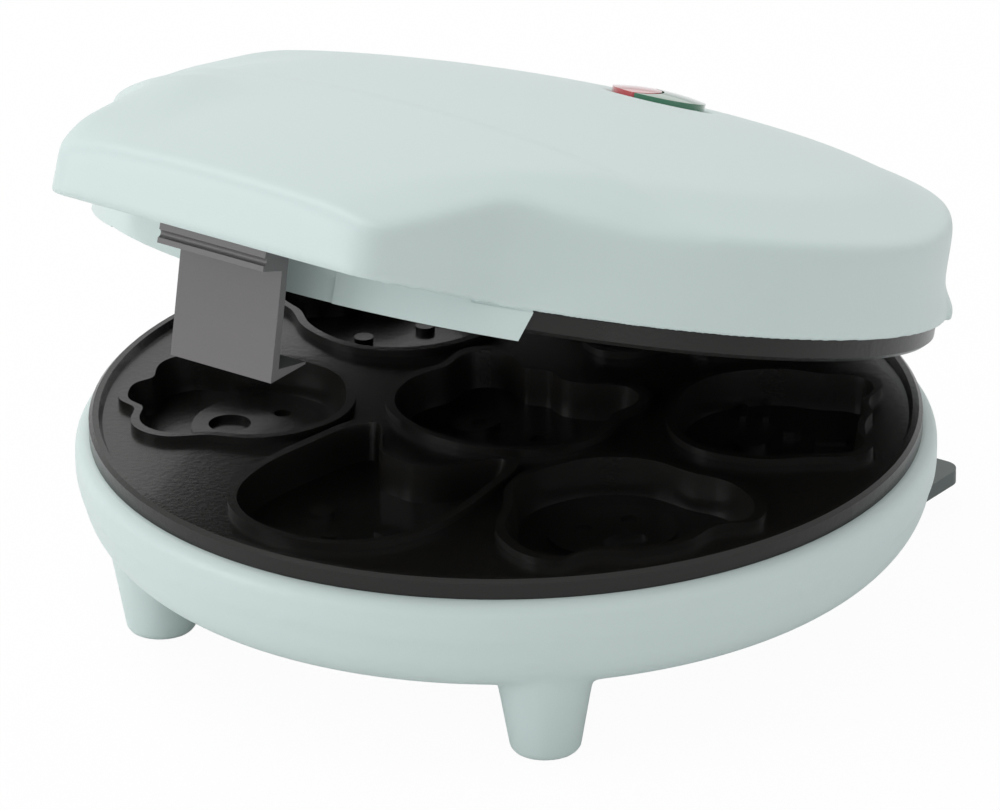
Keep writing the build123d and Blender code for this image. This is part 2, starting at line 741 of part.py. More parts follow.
def crown_ball(inset):
    """Radius of the ball whose cap is the lid's crown."""
    rim = LID_SHOULDER_RADIUS - inset * 0.4
    return (rim**2 + LID_CROWN**2) / (2 * LID_CROWN)


def crown_height(y, inset):
    """Height of the lid's domed crown at a distance from the middle."""
    ball = crown_ball(inset)
    return LID_TOP_Z - inset + LID_CROWN - ball + (ball**2 - y**2) ** 0.5


def lid_solid(inset):
    """The lid as one solid, or the room inside it when inset is the wall."""
    radius = LID_RADIUS - inset
    wall_z = UPPER_SEAT_Z + LID_WALL_HEIGHT - inset * 0.4
    shoulder = LID_SHOULDER_RADIUS - inset * 0.4
    ball = crown_ball(inset)
    edge = (shoulder, crown_height(shoulder, inset))
    middle = (shoulder / 2, crown_height(shoulder / 2, inset))
    apex = (0, crown_height(0, inset))
    with BuildPart() as nose:
        with BuildSketch(Plane.XY.offset(UPPER_SEAT_Z)):
            add(nose_outline(inset))
        extrude(amount=60)
        add(crown_slab(inset * 1.05), mode=Mode.INTERSECT)
        with Locations((0, 0, apex[1] - ball)):
            Sphere(ball, mode=Mode.INTERSECT)
    with BuildPart() as body:
        with BuildSketch(Plane.XZ):
            with BuildLine():
                Polyline((0, UPPER_SEAT_Z), (radius, UPPER_SEAT_Z), (radius, wall_z), edge)
                ThreePointArc(edge, middle, apex)
                Line(apex, (0, UPPER_SEAT_Z))
            make_face()
        revolve(axis=Axis.Z)
        add(nose.part)
    return body.part


def nose_underside():
    """Wedge that lifts the lower edge of the nose towards the front."""
    with BuildPart() as wedge:
        with BuildSketch(side_plane(-90)):
            Polygon(
                (-NOSE_FRONT - 5, UPPER_SEAT_Z - 9), (-NOSE_ROOT_Y - 4, UPPER_SEAT_Z - 9),
                (-NOSE_ROOT_Y - 4, UPPER_SEAT_Z), (-NOSE_FRONT - 5, UPPER_SEAT_Z + NOSE_RISE + 0.6),
                align=None,
            )
        extrude(amount=180)
    return wedge.part


def hinge_web_profile():
    """Side view of the web between the lid's wall and its hinge barrel."""
    with BuildSketch() as profile:
        with Locations((HINGE_Y, HINGE_Z)):
            Circle(HINGE_BARREL_RADIUS)
        with Locations((LID_RADIUS - 5, UPPER_SEAT_Z + 13)):
            Circle(3)
        with Locations((LID_RADIUS - 5, UPPER_SEAT_Z + 2)):
            Circle(2)
        make_hull()
    return profile.sketch


def hood_plane():
    """Upright plane through the axis at the start of the rear bead."""
    start = radians(90 - HOOD_ARC / 2)
    return Plane(origin=(0, 0, 0), x_dir=(cos(start), sin(start), 0), z_dir=(sin(start), -cos(start), 0))


def upper_housing():
    lens_seat = lens_plane()
    roof_z = LID_TOP_Z - HOUSING_WALL
    with BuildPart() as shell:
        add(lid_solid(0))
        with BuildSketch(hood_plane()):
            with BuildLine():
                Polyline(
                    (LID_RADIUS - 1, HOOD_BEAD_Z), (LID_RADIUS + HOOD_BEAD, HOOD_BEAD_Z),
                    (LID_RADIUS + HOOD_BEAD, HOOD_BEAD_Z + HOOD_BEAD_HEIGHT - 1),
                    (LID_RADIUS - 1, HOOD_BEAD_Z + HOOD_BEAD_HEIGHT), close=True,
                )
            make_face()
        revolve(axis=Axis.Z, revolution_arc=HOOD_ARC)
        with BuildSketch(side_plane(-HINGE_BARREL_HALF)):
            add(hinge_web_profile())
        extrude(amount=2 * HINGE_BARREL_HALF)
        add(lid_solid(HOUSING_WALL), mode=Mode.SUBTRACT)
        with Locations((0, 0, UPPER_SEAT_Z - 20)):
            Cylinder(PLATE_RADIUS + APRON_CLEAR, 20, align=UPRIGHT, mode=Mode.SUBTRACT)
        add(nose_underside(), mode=Mode.SUBTRACT)
        with PolarLocations(POST_CIRCLE, POST_COUNT, start_angle=POST_START):
            with Locations((0, 0, UPPER_REFLECTOR_Z)):
                Cylinder(SCREW_HEAD_RADIUS + 0.4 + POST_WALL, roof_z - UPPER_REFLECTOR_Z + 1, align=UPRIGHT)
        with PolarLocations(POST_CIRCLE, POST_COUNT, start_angle=POST_START):
            with Locations((0, 0, UPPER_REFLECTOR_Z)):
                Cylinder(
                    SCREW_HEAD_RADIUS + 0.4, roof_z - UPPER_REFLECTOR_Z - 4, align=UPRIGHT,
                    mode=Mode.SUBTRACT,
                )
        with BuildSketch(lens_seat.offset(-12)):
            Circle(LENS_RADIUS)
        extrude(amount=20, mode=Mode.SUBTRACT)
        with Locations((0, HINGE_Y, HINGE_Z)):
            Cylinder(
                HINGE_PIN_RADIUS + HINGE_RUN, 3 * HINGE_BARREL_HALF, rotation=(0, 90, 0),
                mode=Mode.SUBTRACT,
            )
    return shell.part


def latch_ear_x():
    return LATCH_WIDTH / 2 + LATCH_SIDE_GAP


def lens_plane():
    """Plane of the signal window, tangent to the crown."""
    centre_z = crown_height(0, 0) - crown_ball(0)
    top_z = crown_height(LENS_Y, 0)
    return Plane(origin=(0, LENS_Y, top_z), x_dir=(1, 0, 0), z_dir=(0, LENS_Y, top_z - centre_z))


def split_line(shift):
    """The S-shaped line between the two lenses, moved sideways by a little."""
    half = LENS_RADIUS / 2
    with BuildSketch() as side:
        with BuildLine():
            ThreePointArc((shift, LENS_RADIUS), (shift - half * 0.6, half), (shift, 0))
            ThreePointArc((shift, 0), (shift + half * 0.6, -half), (shift, -LENS_RADIUS))
            Polyline(
                (shift, -LENS_RADIUS), (-2 * LENS_RADIUS, -LENS_RADIUS),
                (-2 * LENS_RADIUS, LENS_RADIUS), (shift, LENS_RADIUS),
            )
        make_face()
    return side.sketch


def lens(left):
    """One of the two domed lenses that share the round window."""
    seat = lens_plane()
    ball = (LENS_RADIUS**2 + LENS_PROUD**2) / (2 * LENS_PROUD)
    shift = -LENS_GAP / 2 if left else LENS_GAP / 2
    with BuildPart() as dome:
        with BuildSketch(seat.offset(-LENS_THICK)):
            Circle(LENS_RADIUS)
            add(split_line(shift), mode=Mode.INTERSECT if left else Mode.SUBTRACT)
        extrude(amount=LENS_THICK + LENS_PROUD)
        with Locations(seat.offset(LENS_PROUD - ball).location):
            Sphere(ball, mode=Mode.INTERSECT)
    return dome.part


def lamp_holder():
    """Cup that closes the window from inside and carries the lamps."""
    seat = lens_plane().offset(-HOLDER_DROP - LENS_THICK)
    with BuildPart() as holder:
        with BuildSketch(seat):
            Circle(LENS_RADIUS)
        extrude(amount=HOLDER_DROP)
        with BuildSketch(seat.offset(HOLDER_SHEET)):
            Circle(LENS_RADIUS - HOLDER_SHEET)
        extrude(amount=HOLDER_DROP, mode=Mode.SUBTRACT)
    return holder.part


def signal_lamps():
    seat = lens_plane().offset(HOLDER_SHEET - HOLDER_DROP - LENS_THICK)
    with BuildPart() as lamps:
        with BuildSketch(seat):
            with Locations((-LENS_RADIUS / 2, 0), (LENS_RADIUS / 2, 0)):
                Circle(LAMP_RADIUS)
        extrude(amount=LAMP_HEIGHT)
    return lamps.part


def arc_sector(half_angle):
    """Pie slice at the front, used to cut ring pieces to length."""
    reach = 2 * LID_RADIUS
    side = reach * tan(radians(half_angle))
    with BuildSketch() as slice_:
        Polygon((0, 0), (-side, -reach), (side, -reach), align=None)
    return slice_.sketch


def front_apron():
    """Curved wall under the nose's root, with the nose's floor and the latch slot."""
    inner = PLATE_RADIUS + APRON_CLEAR
    outer = inner + APRON_WALL
    low_z = UPPER_SEAT_Z - APRON_DROP
    floor_top = NOSE_FLOOR_Z + NOSE_FLOOR
    slot_y = (LATCH_SLOT_FRONT + LATCH_SLOT_REAR) / 2
    ear_height = floor_top - LATCH_PIN_Z
    with BuildPart() as apron:
        with BuildSketch(Plane.XY.offset(low_z)):
            Circle(outer)
            Circle(inner, mode=Mode.SUBTRACT)
            add(arc_sector(APRON_HALF_ANGLE), mode=Mode.INTERSECT)
        extrude(amount=APRON_DROP)
        with BuildSketch(Plane.XY.offset(low_z)):
            Circle(outer)
            Circle(inner, mode=Mode.SUBTRACT)
            add(arc_sector(APRON_HALF_ANGLE - 9), mode=Mode.INTERSECT)
        extrude(amount=floor_top - low_z)
        with BuildSketch(Plane.XY.offset(NOSE_FLOOR_Z)):
            add(nose_outline(HOUSING_WALL + NOSE_FLOOR_CLEAR))
            Circle(inner, mode=Mode.SUBTRACT)
            add(arc_sector(APRON_HALF_ANGLE - 9), mode=Mode.INTERSECT)
            with Locations((0, -slot_y)):
                Rectangle(
                    2 * latch_ear_x(), LATCH_SLOT_FRONT - LATCH_SLOT_REAR, mode=Mode.SUBTRACT
                )
        extrude(amount=NOSE_FLOOR)
        for x in (-latch_ear_x() - LATCH_EAR_WIDTH, latch_ear_x()):
            with BuildSketch(side_plane(x)):
                with Locations((-LATCH_PIN_Y, LATCH_PIN_Z)):
                    Circle(LATCH_BARREL_RADIUS)
                with Locations((-LATCH_PIN_Y, LATCH_PIN_Z + ear_height / 2)):
                    Rectangle(2 * LATCH_BARREL_RADIUS, ear_height)
            extrude(amount=LATCH_EAR_WIDTH)
        with Locations((0, -LATCH_PIN_Y, LATCH_PIN_Z)):
            Cylinder(LATCH_PIN_RADIUS, 60, rotation=(0, 90, 0), mode=Mode.SUBTRACT)
        with BuildSketch(Plane.XY.offset(low_z)):
            Rectangle(2 * APRON_NOTCH_HALF, 3 * outer)
            Circle(outer - APRON_NOTCH_DEPTH, mode=Mode.SUBTRACT)
        extrude(amount=NOSE_FLOOR_Z - low_z, mode=Mode.SUBTRACT)
    return apron.part


def latch_pin():
    length = 2 * (latch_ear_x() + LATCH_EAR_WIDTH)
    with BuildPart() as pin:
        with Locations((0, -LATCH_PIN_Y, LATCH_PIN_Z)):
            Cylinder(LATCH_PIN_RADIUS, length, rotation=(0, 90, 0))
    return pin.part


def latch():
    """Finger tab, plate and inward hook in one moulding, turning on the pin."""
    tip_z = BASE_LEDGE_Z - LATCH_TIP_GAP
    tab_low = LATCH_TAB_TOP_Z - LATCH_TAB_HEIGHT
    heel_y = LATCH_HEEL + LATCH_BARREL_RADIUS - LATCH_PIN_Y
    heel_z = NOSE_FLOOR_Z - LATCH_STOP_GAP
    with BuildPart() as clip:
        with BuildSketch(side_plane(-LATCH_WIDTH / 2)):
            Polygon(
                (-LATCH_FRONT_TOP, LATCH_PIN_Z), (-LATCH_FRONT_BOTTOM, LATCH_BOTTOM_Z),
                (-LATCH_TIP_Y, tip_z - 0.6), (-LATCH_TIP_Y, tip_z),
                (LATCH_PLATE - LATCH_FRONT_BOTTOM, tip_z - 1.5),
                (LATCH_PLATE - LATCH_FRONT_TOP, LATCH_PIN_Z), align=None,
            )
        extrude(amount=LATCH_WIDTH)
        with Locations((0, -LATCH_PIN_Y, LATCH_PIN_Z)):
            Cylinder(LATCH_BARREL_RADIUS, LATCH_WIDTH, rotation=(0, 90, 0))
        with BuildSketch(side_plane(-LATCH_WIDTH / 2)):
            Polygon(
                (-LATCH_PIN_Y, heel_z), (heel_y, heel_z), (heel_y, heel_z - 2),
                (-LATCH_PIN_Y, heel_z - 4), align=None,
            )
        extrude(amount=LATCH_WIDTH)
        with BuildSketch(side_plane(-LATCH_TAB_WIDTH / 2)):
            with BuildLine():
                Polyline(
                    (-LATCH_FRONT_TOP + 1, tab_low), (-LATCH_TAB_FRONT, tab_low),
                    (-LATCH_TAB_FRONT, tab_low + 1.4),
                )
                ThreePointArc(
                    (-LATCH_TAB_FRONT, tab_low + 1.4), (0.9 - LATCH_TAB_FRONT, tab_low + 2.4),
                    (-LATCH_TAB_FRONT, tab_low + 3.4),
                )
                Polyline(
                    (-LATCH_TAB_FRONT, tab_low + 3.4), (-LATCH_TAB_FRONT, LATCH_TAB_TOP_Z),
                    (-LATCH_FRONT_TOP + 1, LATCH_TAB_TOP_Z), (-LATCH_FRONT_TOP + 1, tab_low),
                )
            make_face()
        extrude(amount=LATCH_TAB_WIDTH)
        with Locations((0, -LATCH_PIN_Y, LATCH_PIN_Z)):
            Cylinder(
                LATCH_PIN_RADIUS + LATCH_RUN, 2 * LATCH_WIDTH, rotation=(0, 90, 0),
                mode=Mode.SUBTRACT,
            )
    return clip.part


LOWER_MOULD_BACK = LOWER_RIM_Z - LOWER_DEPTH - MOULD_SKIN
UPPER_MOULD_BACK = UPPER_RIM_Z + UPPER_DEPTH + MOULD_SKIN
LOWER_ELEMENT_Z = LOWER_MOULD_BACK - ELEMENT_SEAT - ELEMENT_RADIUS
UPPER_ELEMENT_Z = UPPER_MOULD_BACK + ELEMENT_SEAT + ELEMENT_RADIUS
LOWER_RIB = LOWER_ELEMENT_Z - ELEMENT_RADIUS - ELEMENT_SEAT - LOWER_REFLECTOR_Z
UPPER_RIB = UPPER_REFLECTOR_Z - UPPER_ELEMENT_Z - ELEMENT_RADIUS - ELEMENT_SEAT
LOWER_POST_END = LOWER_REFLECTOR_Z + REFLECTOR_SHEET
UPPER_POST_END = UPPER_REFLECTOR_Z - REFLECTOR_SHEET
BOSS_SEAT_Z = BASE_FLOOR_Z + BOSS_RECESS

BASE_PIECES = {
    "lower_housing": lower_housing(),
    "foot_pads": foot_pads(),
    "lower_plate": cooking_plate(PLATE_SEAT_Z, LOWER_RIM_Z, LOWER_DEPTH, 1, LOWER_POST_END),
    "lower_element": heating_element(LOWER_ELEMENT_Z),
    "lower_reflector": reflector(LOWER_REFLECTOR_Z, 1, LOWER_RIB),
    "lower_plate_screws": screws(
        POST_CIRCLE, POST_COUNT, POST_START, BOSS_SEAT_Z,
        LOWER_POST_END - BOSS_SEAT_Z + SCREW_BITE - 1, 1,
    ),
    "thermostat": thermostat(LOWER_MOULD_BACK - ELEMENT_SEAT),
    "thermal_fuse": thermal_fuse(LOWER_MOULD_BACK - ELEMENT_SEAT),
    "terminal_block": terminal_block(),
    "cord_outlet": cord_outlet(),
    "cord_wrap": cord_wrap(),
    "cord_wrap_screws": cord_wrap_screws(),
    "hinge_pins": hinge_pins(),
}

LID_PIECES = {
    "upper_housing": upper_housing(),
    "front_apron": front_apron(),
    "upper_plate": cooking_plate(UPPER_SEAT_Z, UPPER_RIM_Z, UPPER_DEPTH, -1, UPPER_POST_END),
    "upper_element": heating_element(UPPER_ELEMENT_Z),
    "upper_reflector": reflector(UPPER_REFLECTOR_Z, -1, UPPER_RIB),
    "upper_plate_screws": screws(
        POST_CIRCLE, POST_COUNT, POST_START, UPPER_REFLECTOR_Z,
        REFLECTOR_SHEET + SCREW_BITE - 1, -1,
    ),
    "red_lens": lens(True),
    "green_lens": lens(False),
    "lamp_holder": lamp_holder(),
    "signal_lamps": signal_lamps(),
    "latch_pin": latch_pin(),
    "latch": latch(),
}

for name, piece in LID_PIECES.items():
    LID_PIECES[name] = piece.rotate(HINGE_AXIS, -LID_OPEN)

for name, piece in {**BASE_PIECES, **LID_PIECES}.items():
    piece.label = name
    export_step(piece, f"parts/{name}.step")
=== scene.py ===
# %% [markdown]
# # Animal waffle maker
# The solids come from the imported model, which is the fixed frame. Everything added here is in metres in
# that frame. The maker stands ajar on a pale worktop, with its lid 17.5 degrees open.

import json
import math

import bmesh
import bpy
import numpy as np
from mathutils import Matrix, Vector


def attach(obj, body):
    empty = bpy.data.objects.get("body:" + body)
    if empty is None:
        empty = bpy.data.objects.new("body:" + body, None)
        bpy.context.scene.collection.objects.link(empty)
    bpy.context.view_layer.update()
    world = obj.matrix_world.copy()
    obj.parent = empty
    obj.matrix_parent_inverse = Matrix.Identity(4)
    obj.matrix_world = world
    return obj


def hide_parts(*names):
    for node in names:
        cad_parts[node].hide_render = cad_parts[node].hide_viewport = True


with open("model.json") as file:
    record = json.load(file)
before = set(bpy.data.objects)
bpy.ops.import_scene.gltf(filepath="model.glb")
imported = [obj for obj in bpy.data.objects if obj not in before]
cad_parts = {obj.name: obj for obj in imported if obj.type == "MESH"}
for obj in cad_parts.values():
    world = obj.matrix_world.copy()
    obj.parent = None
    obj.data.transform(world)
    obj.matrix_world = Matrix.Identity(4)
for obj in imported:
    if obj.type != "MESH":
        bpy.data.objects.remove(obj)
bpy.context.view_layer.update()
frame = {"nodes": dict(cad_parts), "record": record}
nodes = frame["nodes"]

# %% [markdown]
# ## The camera
# The photograph was taken from the front right and a little above, from far away: the ellipses of the
# plate and the rim hardly change between front and rear. A camera could be placed by eye and turned until
# it looks right. Here it circles one aim point instead, so that turn, rise and roll are three plain angles,
# and a long lens at two metres gives the flat view.

# %% Camera
AIM = Vector((0, 0, 0.055))
DISTANCE = 2.0914
TURN = math.radians(36.35)
RISE = math.radians(23.98)
ROLL = math.radians(-0.74)

away = Vector((math.sin(TURN) * math.cos(RISE), -math.cos(TURN) * math.cos(RISE), math.sin(RISE)))
right = Vector((math.cos(TURN), math.sin(TURN), 0))
up = away.cross(right)
rolled_right = right * math.cos(ROLL) + up * math.sin(ROLL)
rolled_up = up * math.cos(ROLL) - right * math.sin(ROLL)
place = Matrix((rolled_right, rolled_up, away)).transposed().to_4x4()
place.translation = AIM + away * DISTANCE

camera_data = bpy.data.cameras.new("camera")
camera_data.lens = 288
camera_data.sensor_width = 36
camera_data.shift_x = -0.0056
camera_data.shift_y = -0.001
camera_data.clip_end = 20
camera = bpy.data.objects.new("camera", camera_data)
camera.matrix_world = place
bpy.context.scene.collection.objects.link(camera)
bpy.context.scene.camera = camera
print("camera at:", [round(value, 3) for value in place.translation])

# %% [markdown]
# ## The worktop
# Product photographs stand on white paper that goes on into the background. A brighter lamp would whiten
# the paper, but it would bleach the object too. So the paper keeps a plain pale colour for all light that
# bounces off it, and only what the camera sees of it is mixed with an even white. The part left unmixed
# carries the object's shadow. At a share of 0.96 that is barely a trace, close to the photograph, which
# shows no shadow at all; a share of about 0.7 keeps a plain soft shadow.

# %% Worktop
FLOOR_WHITE = 0.96
FLOOR_HALF = 6

floor_mesh = bpy.data.meshes.new("worktop")
floor_corners = [(x * FLOOR_HALF, y * FLOOR_HALF, 0) for x, y in ((-1, -1), (1, -1), (1, 1), (-1, 1))]
floor_mesh.from_pydata(floor_corners, [], [(0, 1, 2, 3)])
floor = bpy.data.objects.new("worktop", floor_mesh)
bpy.context.scene.collection.objects.link(floor)

paper_finish = bpy.data.materials.new("pale_worktop")
paper_finish.use_nodes = True
paper_nodes = paper_finish.node_tree.nodes
paper_shader = paper_nodes["Principled BSDF"]
paper_shader.inputs["Base Color"].default_value = (0.94, 0.94, 0.94, 1)
paper_shader.inputs["Roughness"].default_value = 0.9
paper_shader.inputs["Specular IOR Level"].default_value = 0.1
paper_mix = paper_nodes.new("ShaderNodeMixShader")
paper_white = paper_nodes.new("ShaderNodeEmission")
paper_rays = paper_nodes.new("ShaderNodeLightPath")
white_share = paper_nodes.new("ShaderNodeMath")
white_share.operation = "MULTIPLY"
white_share.inputs[1].default_value = FLOOR_WHITE
paper_links = paper_finish.node_tree.links
paper_links.new(paper_rays.outputs["Is Camera Ray"], white_share.inputs[0])
paper_links.new(white_share.outputs[0], paper_mix.inputs["Fac"])
paper_links.new(paper_shader.outputs["BSDF"], paper_mix.inputs[1])
paper_links.new(paper_white.outputs["Emission"], paper_mix.inputs[2])
paper_links.new(paper_mix.outputs["Shader"], paper_nodes["Material Output"].inputs["Surface"])
floor_mesh.materials.append(paper_finish)
print("worktop half width:", FLOOR_HALF)

# %% [markdown]
# ## The white studio
# A real studio tent is white all round. The world does the same: it is white where the camera or a
# mirror looks at it, and a plainer level for everything else, so that the light on the object keeps its own
# value. The split uses Light Path, which costs no lamp and no picture.

# %% World
SKY_LEVEL = 0.63

world = bpy.data.worlds.new("studio")
world.use_nodes = True
bpy.context.scene.world = world
world_nodes = world.node_tree.nodes
world_nodes.clear()
world_rays = world_nodes.new("ShaderNodeLightPath")
camera_or_glass = world_nodes.new("ShaderNodeMath")
camera_or_glass.operation = "MAXIMUM"
or_mirror = world_nodes.new("ShaderNodeMath")
or_mirror.operation = "MAXIMUM"
white_sky = world_nodes.new("ShaderNodeBackground")
white_sky.inputs["Color"].default_value = (1, 1, 1, 1)
white_sky.inputs["Strength"].default_value = 1.0
soft_sky = world_nodes.new("ShaderNodeBackground")
soft_sky.inputs["Color"].default_value = (0.98, 0.99, 1, 1)
soft_sky.inputs["Strength"].default_value = SKY_LEVEL
sky_mix = world_nodes.new("ShaderNodeMixShader")
sky_out = world_nodes.new("ShaderNodeOutputWorld")
world_links = world.node_tree.links
world_links.new(world_rays.outputs["Is Camera Ray"], camera_or_glass.inputs[0])
world_links.new(world_rays.outputs["Is Transmission Ray"], camera_or_glass.inputs[1])
world_links.new(camera_or_glass.outputs[0], or_mirror.inputs[0])
world_links.new(world_rays.outputs["Is Glossy Ray"], or_mirror.inputs[1])
world_links.new(or_mirror.outputs[0], sky_mix.inputs["Fac"])
world_links.new(soft_sky.outputs[0], sky_mix.inputs[1])
world_links.new(white_sky.outputs[0], sky_mix.inputs[2])
world_links.new(sky_mix.outputs[0], sky_out.inputs["Surface"])
print("sky level:", SKY_LEVEL)

# %% [markdown]
# ## The lamps
# The photographed front is bright, and the right flank is a third darker. Three square soft boxes give
# that: one above, a strong one low at the front left, and a weak one at the right that only opens the
# shade. Square area lamps are used, because their edges make the soft falloff that small lamps can't.


# %% Lamps
def soft_box(name, spot, size, watts):
    """A square lamp that faces the waffle maker."""
    lamp = bpy.data.lights.new(name, "AREA")
    lamp.shape = "SQUARE"
    lamp.size = size
    lamp.energy = watts
    holder = bpy.data.objects.new(name, lamp)
    holder.location = spot
    facing = Vector((0, 0, 0.08)) - Vector(spot)
    holder.rotation_euler = facing.to_track_quat("-Z", "Y").to_euler()
    bpy.context.scene.collection.objects.link(holder)


soft_box("overhead_softbox", (-0.5, -0.1, 1.7), 1.3, 11)
soft_box("front_softbox", (-1.2, -1.6, 0.5), 1.0, 10)
soft_box("right_softbox", (1.7, -0.5, 0.35), 1.0, 1.2)
bpy.context.scene.view_settings.view_transform = "Standard"
print("lamps:", len(bpy.data.lights))

# %% [markdown]
# ## Fine surface texture
# Moulded plastic and sprayed coatings are never quite flat. The grain could be a picture, but that needs
# an unwrapped mesh. One small noise in object space, put out as a normal by a node group, serves all of
# them, each with its own grain size and depth.


# %% Texture group
def texture_group():
    """Group that turns noise in object space into a slightly uneven normal."""
    group = bpy.data.node_groups.new("uneven_surface", "ShaderNodeTree")
    face = group.interface
    face.new_socket("Grain", in_out="INPUT", socket_type="NodeSocketFloat")
    face.new_socket("Depth", in_out="INPUT", socket_type="NodeSocketFloat")
    face.new_socket("Normal", in_out="OUTPUT", socket_type="NodeSocketVector")
    inlet = group.nodes.new("NodeGroupInput")
    outlet = group.nodes.new("NodeGroupOutput")
    where = group.nodes.new("ShaderNodeTexCoord")
    noise = group.nodes.new("ShaderNodeTexNoise")
    noise.inputs["Detail"].default_value = 3
    bump = group.nodes.new("ShaderNodeBump")
    bump.inputs["Distance"].default_value = 0.0002
    group.links.new(where.outputs["Object"], noise.inputs["Vector"])
    group.links.new(inlet.outputs["Grain"], noise.inputs["Scale"])
    group.links.new(inlet.outputs["Depth"], bump.inputs["Strength"])
    group.links.new(noise.outputs["Fac"], bump.inputs["Height"])
    group.links.new(bump.outputs["Normal"], outlet.inputs["Normal"])
    return group


UNEVEN = texture_group()
print("texture group:", UNEVEN.name)

# %% [markdown]
# ## The finishes
# Each slot of the record is one real finish: satin mint plastic for the shells, dark grey plastic for the
# latch and the cord wrap, a thin black coating on the cast plates, bare steels inside, and two clear
# coloured lenses. All are one Principled shader with a plain colour. The helper keeps every constant on
# the shader's own sockets, and only the uneven normal comes from the group.


# %% Finish helper
def finish(name, colour, roughness, metal=0.0, coat=0.0, gloss=0.5, grain=900.0, depth=0.15):
    """A Principled finish with the uneven normal."""
    material = bpy.data.materials.new(name)
    material.use_nodes = True
    tree = material.node_tree
    shader = tree.nodes["Principled BSDF"]
    shader.inputs["Base Color"].default_value = (*colour, 1)
    shader.inputs["Roughness"].default_value = roughness
    shader.inputs["Metallic"].default_value = metal
    shader.inputs["Specular IOR Level"].default_value = gloss
    shader.inputs["Coat Weight"].default_value = coat
    shader.inputs["Coat Roughness"].default_value = 0.08
    texture = tree.nodes.new("ShaderNodeGroup")
    texture.node_tree = UNEVEN
    texture.inputs["Grain"].default_value = grain
    texture.inputs["Depth"].default_value = depth
    tree.links.new(texture.outputs["Normal"], shader.inputs["Normal"])
    return material


# %% Plastics, coating and rubber
MINT = finish("mint_shell", (0.590, 0.692, 0.670), 0.42, grain=1400, depth=0.12)
LATCH_GREY = finish("latch_grey", (0.112, 0.107, 0.109), 0.40, grain=1400, depth=0.1)
WRAP_GREY = finish("wrap_grey", (0.080, 0.100, 0.095), 0.45, grain=1400, depth=0.1)
COATING = finish("plate_coating", (0.010, 0.0095, 0.0085), 0.27, coat=0.12, gloss=0.28, grain=700, depth=0.35)
RUBBER = finish("pad_rubber", (0.05, 0.05, 0.05), 0.8)
BLACK_PLASTIC = finish("black_plastic", (0.03, 0.03, 0.03), 0.5)
WHITE_PLASTIC = finish("white_plastic", (0.75, 0.74, 0.70), 0.5)

# %% Steels, lenses and glass
TUBE_STEEL = finish("tube_steel", (0.40, 0.39, 0.37), 0.4, metal=1)
SHEET_STEEL = finish("sheet_steel", (0.62, 0.62, 0.61), 0.3, metal=1)
FASTENER = finish("fastener_steel", (0.55, 0.55, 0.54), 0.28, metal=1)
RED_LENS = finish("red_lens", (0.52, 0.035, 0.045), 0.12, coat=1.0, depth=0.0)
GREEN_LENS = finish("green_lens", (0.012, 0.16, 0.075), 0.12, coat=1.0, depth=0.0)
LAMP_GLASS = finish("lamp_glass", (0.9, 0.86, 0.74), 0.1, depth=0.0)

# %% Put the finishes on
# Keys are the record's material slots.
FINISHES = {
    "mint_plastic": MINT, "grey_plastic": LATCH_GREY, "wrap_plastic": WRAP_GREY,
    "coated_plate": COATING, "rubber": RUBBER, "element_steel": TUBE_STEEL,
    "steel_sheet": SHEET_STEEL, "screw_steel": FASTENER, "pin_steel": FASTENER,
    "black_plastic": BLACK_PLASTIC, "white_plastic": WHITE_PLASTIC, "red_lens": RED_LENS,
    "green_lens": GREEN_LENS, "lamp_glass": LAMP_GLASS,
}

for part in frame["record"]["subparts"]:
    mesh = nodes[part["node"]].data
    mesh.materials.clear()
    mesh.materials.append(FINISHES[part["material_slot"]])
print("finishes:", len(FINISHES))

# %% [markdown]
# ## Helpers for the rounded shells
# The lid and the bowl are soft, hand-friendly mouldings. Sculpting would round them, but no two runs would
# match. The solids have their planes and creases near the right places, so each shell is cut into small
# equal cells and its vertices are averaged with their neighbours: creases melt into wide rounds while the
# flat walls stay where they are. A mask keeps the seats, rims and hinge as crisp as the solid. The lid is
# turned shut while it is cut, so that its flat edge lies along the cells and comes out straight.

# %% Closed lid
HINGE = Vector((0, 0.1205, 0.050))
OPEN = math.radians(17.5)
CLOSE = Matrix.Translation(HINGE) @ Matrix.Rotation(OPEN, 4, "X") @ Matrix.Translation(-HINGE)


def closed_places(places):
    """Vertex places of the lid, turned back to the closed lid."""
    turned = places.copy()
    y = places[:, 1] - HINGE.y
    z = places[:, 2] - HINGE.z
    turned[:, 1] = HINGE.y + y * math.cos(OPEN) - z * math.sin(OPEN)
    turned[:, 2] = HINGE.z + y * math.sin(OPEN) + z * math.cos(OPEN)
    return turned


# %% Cells
CELL = 0.0010


def cell_copy(node, name, turn=None):
    """A copy of a solid, cut into small equal cells. The turn lays its flat edges along the cells."""
    turn = turn or Matrix.Identity(4)
    copy = bpy.data.objects.new(name, nodes[node].data.copy())
    copy.data.transform(turn)
    bpy.context.scene.collection.objects.link(copy)
    remesh = copy.modifiers.new("cells", "REMESH")
    remesh.mode = "VOXEL"
    remesh.voxel_size = CELL
    fine = bpy.data.meshes.new_from_object(copy.evaluated_get(bpy.context.evaluated_depsgraph_get()))
    copy.modifiers.clear()
    fine.transform(turn.inverted())
    copy.data = fine
    return copy


def points_of(mesh):
    """Vertex places as an array."""
    places = np.empty(len(mesh.vertices) * 3)
    mesh.vertices.foreach_get("co", places)
    return places.reshape(-1, 3)


def put_points(mesh, places):
    """Writes vertex places back."""
    mesh.vertices.foreach_set("co", places.ravel())
    mesh.update()


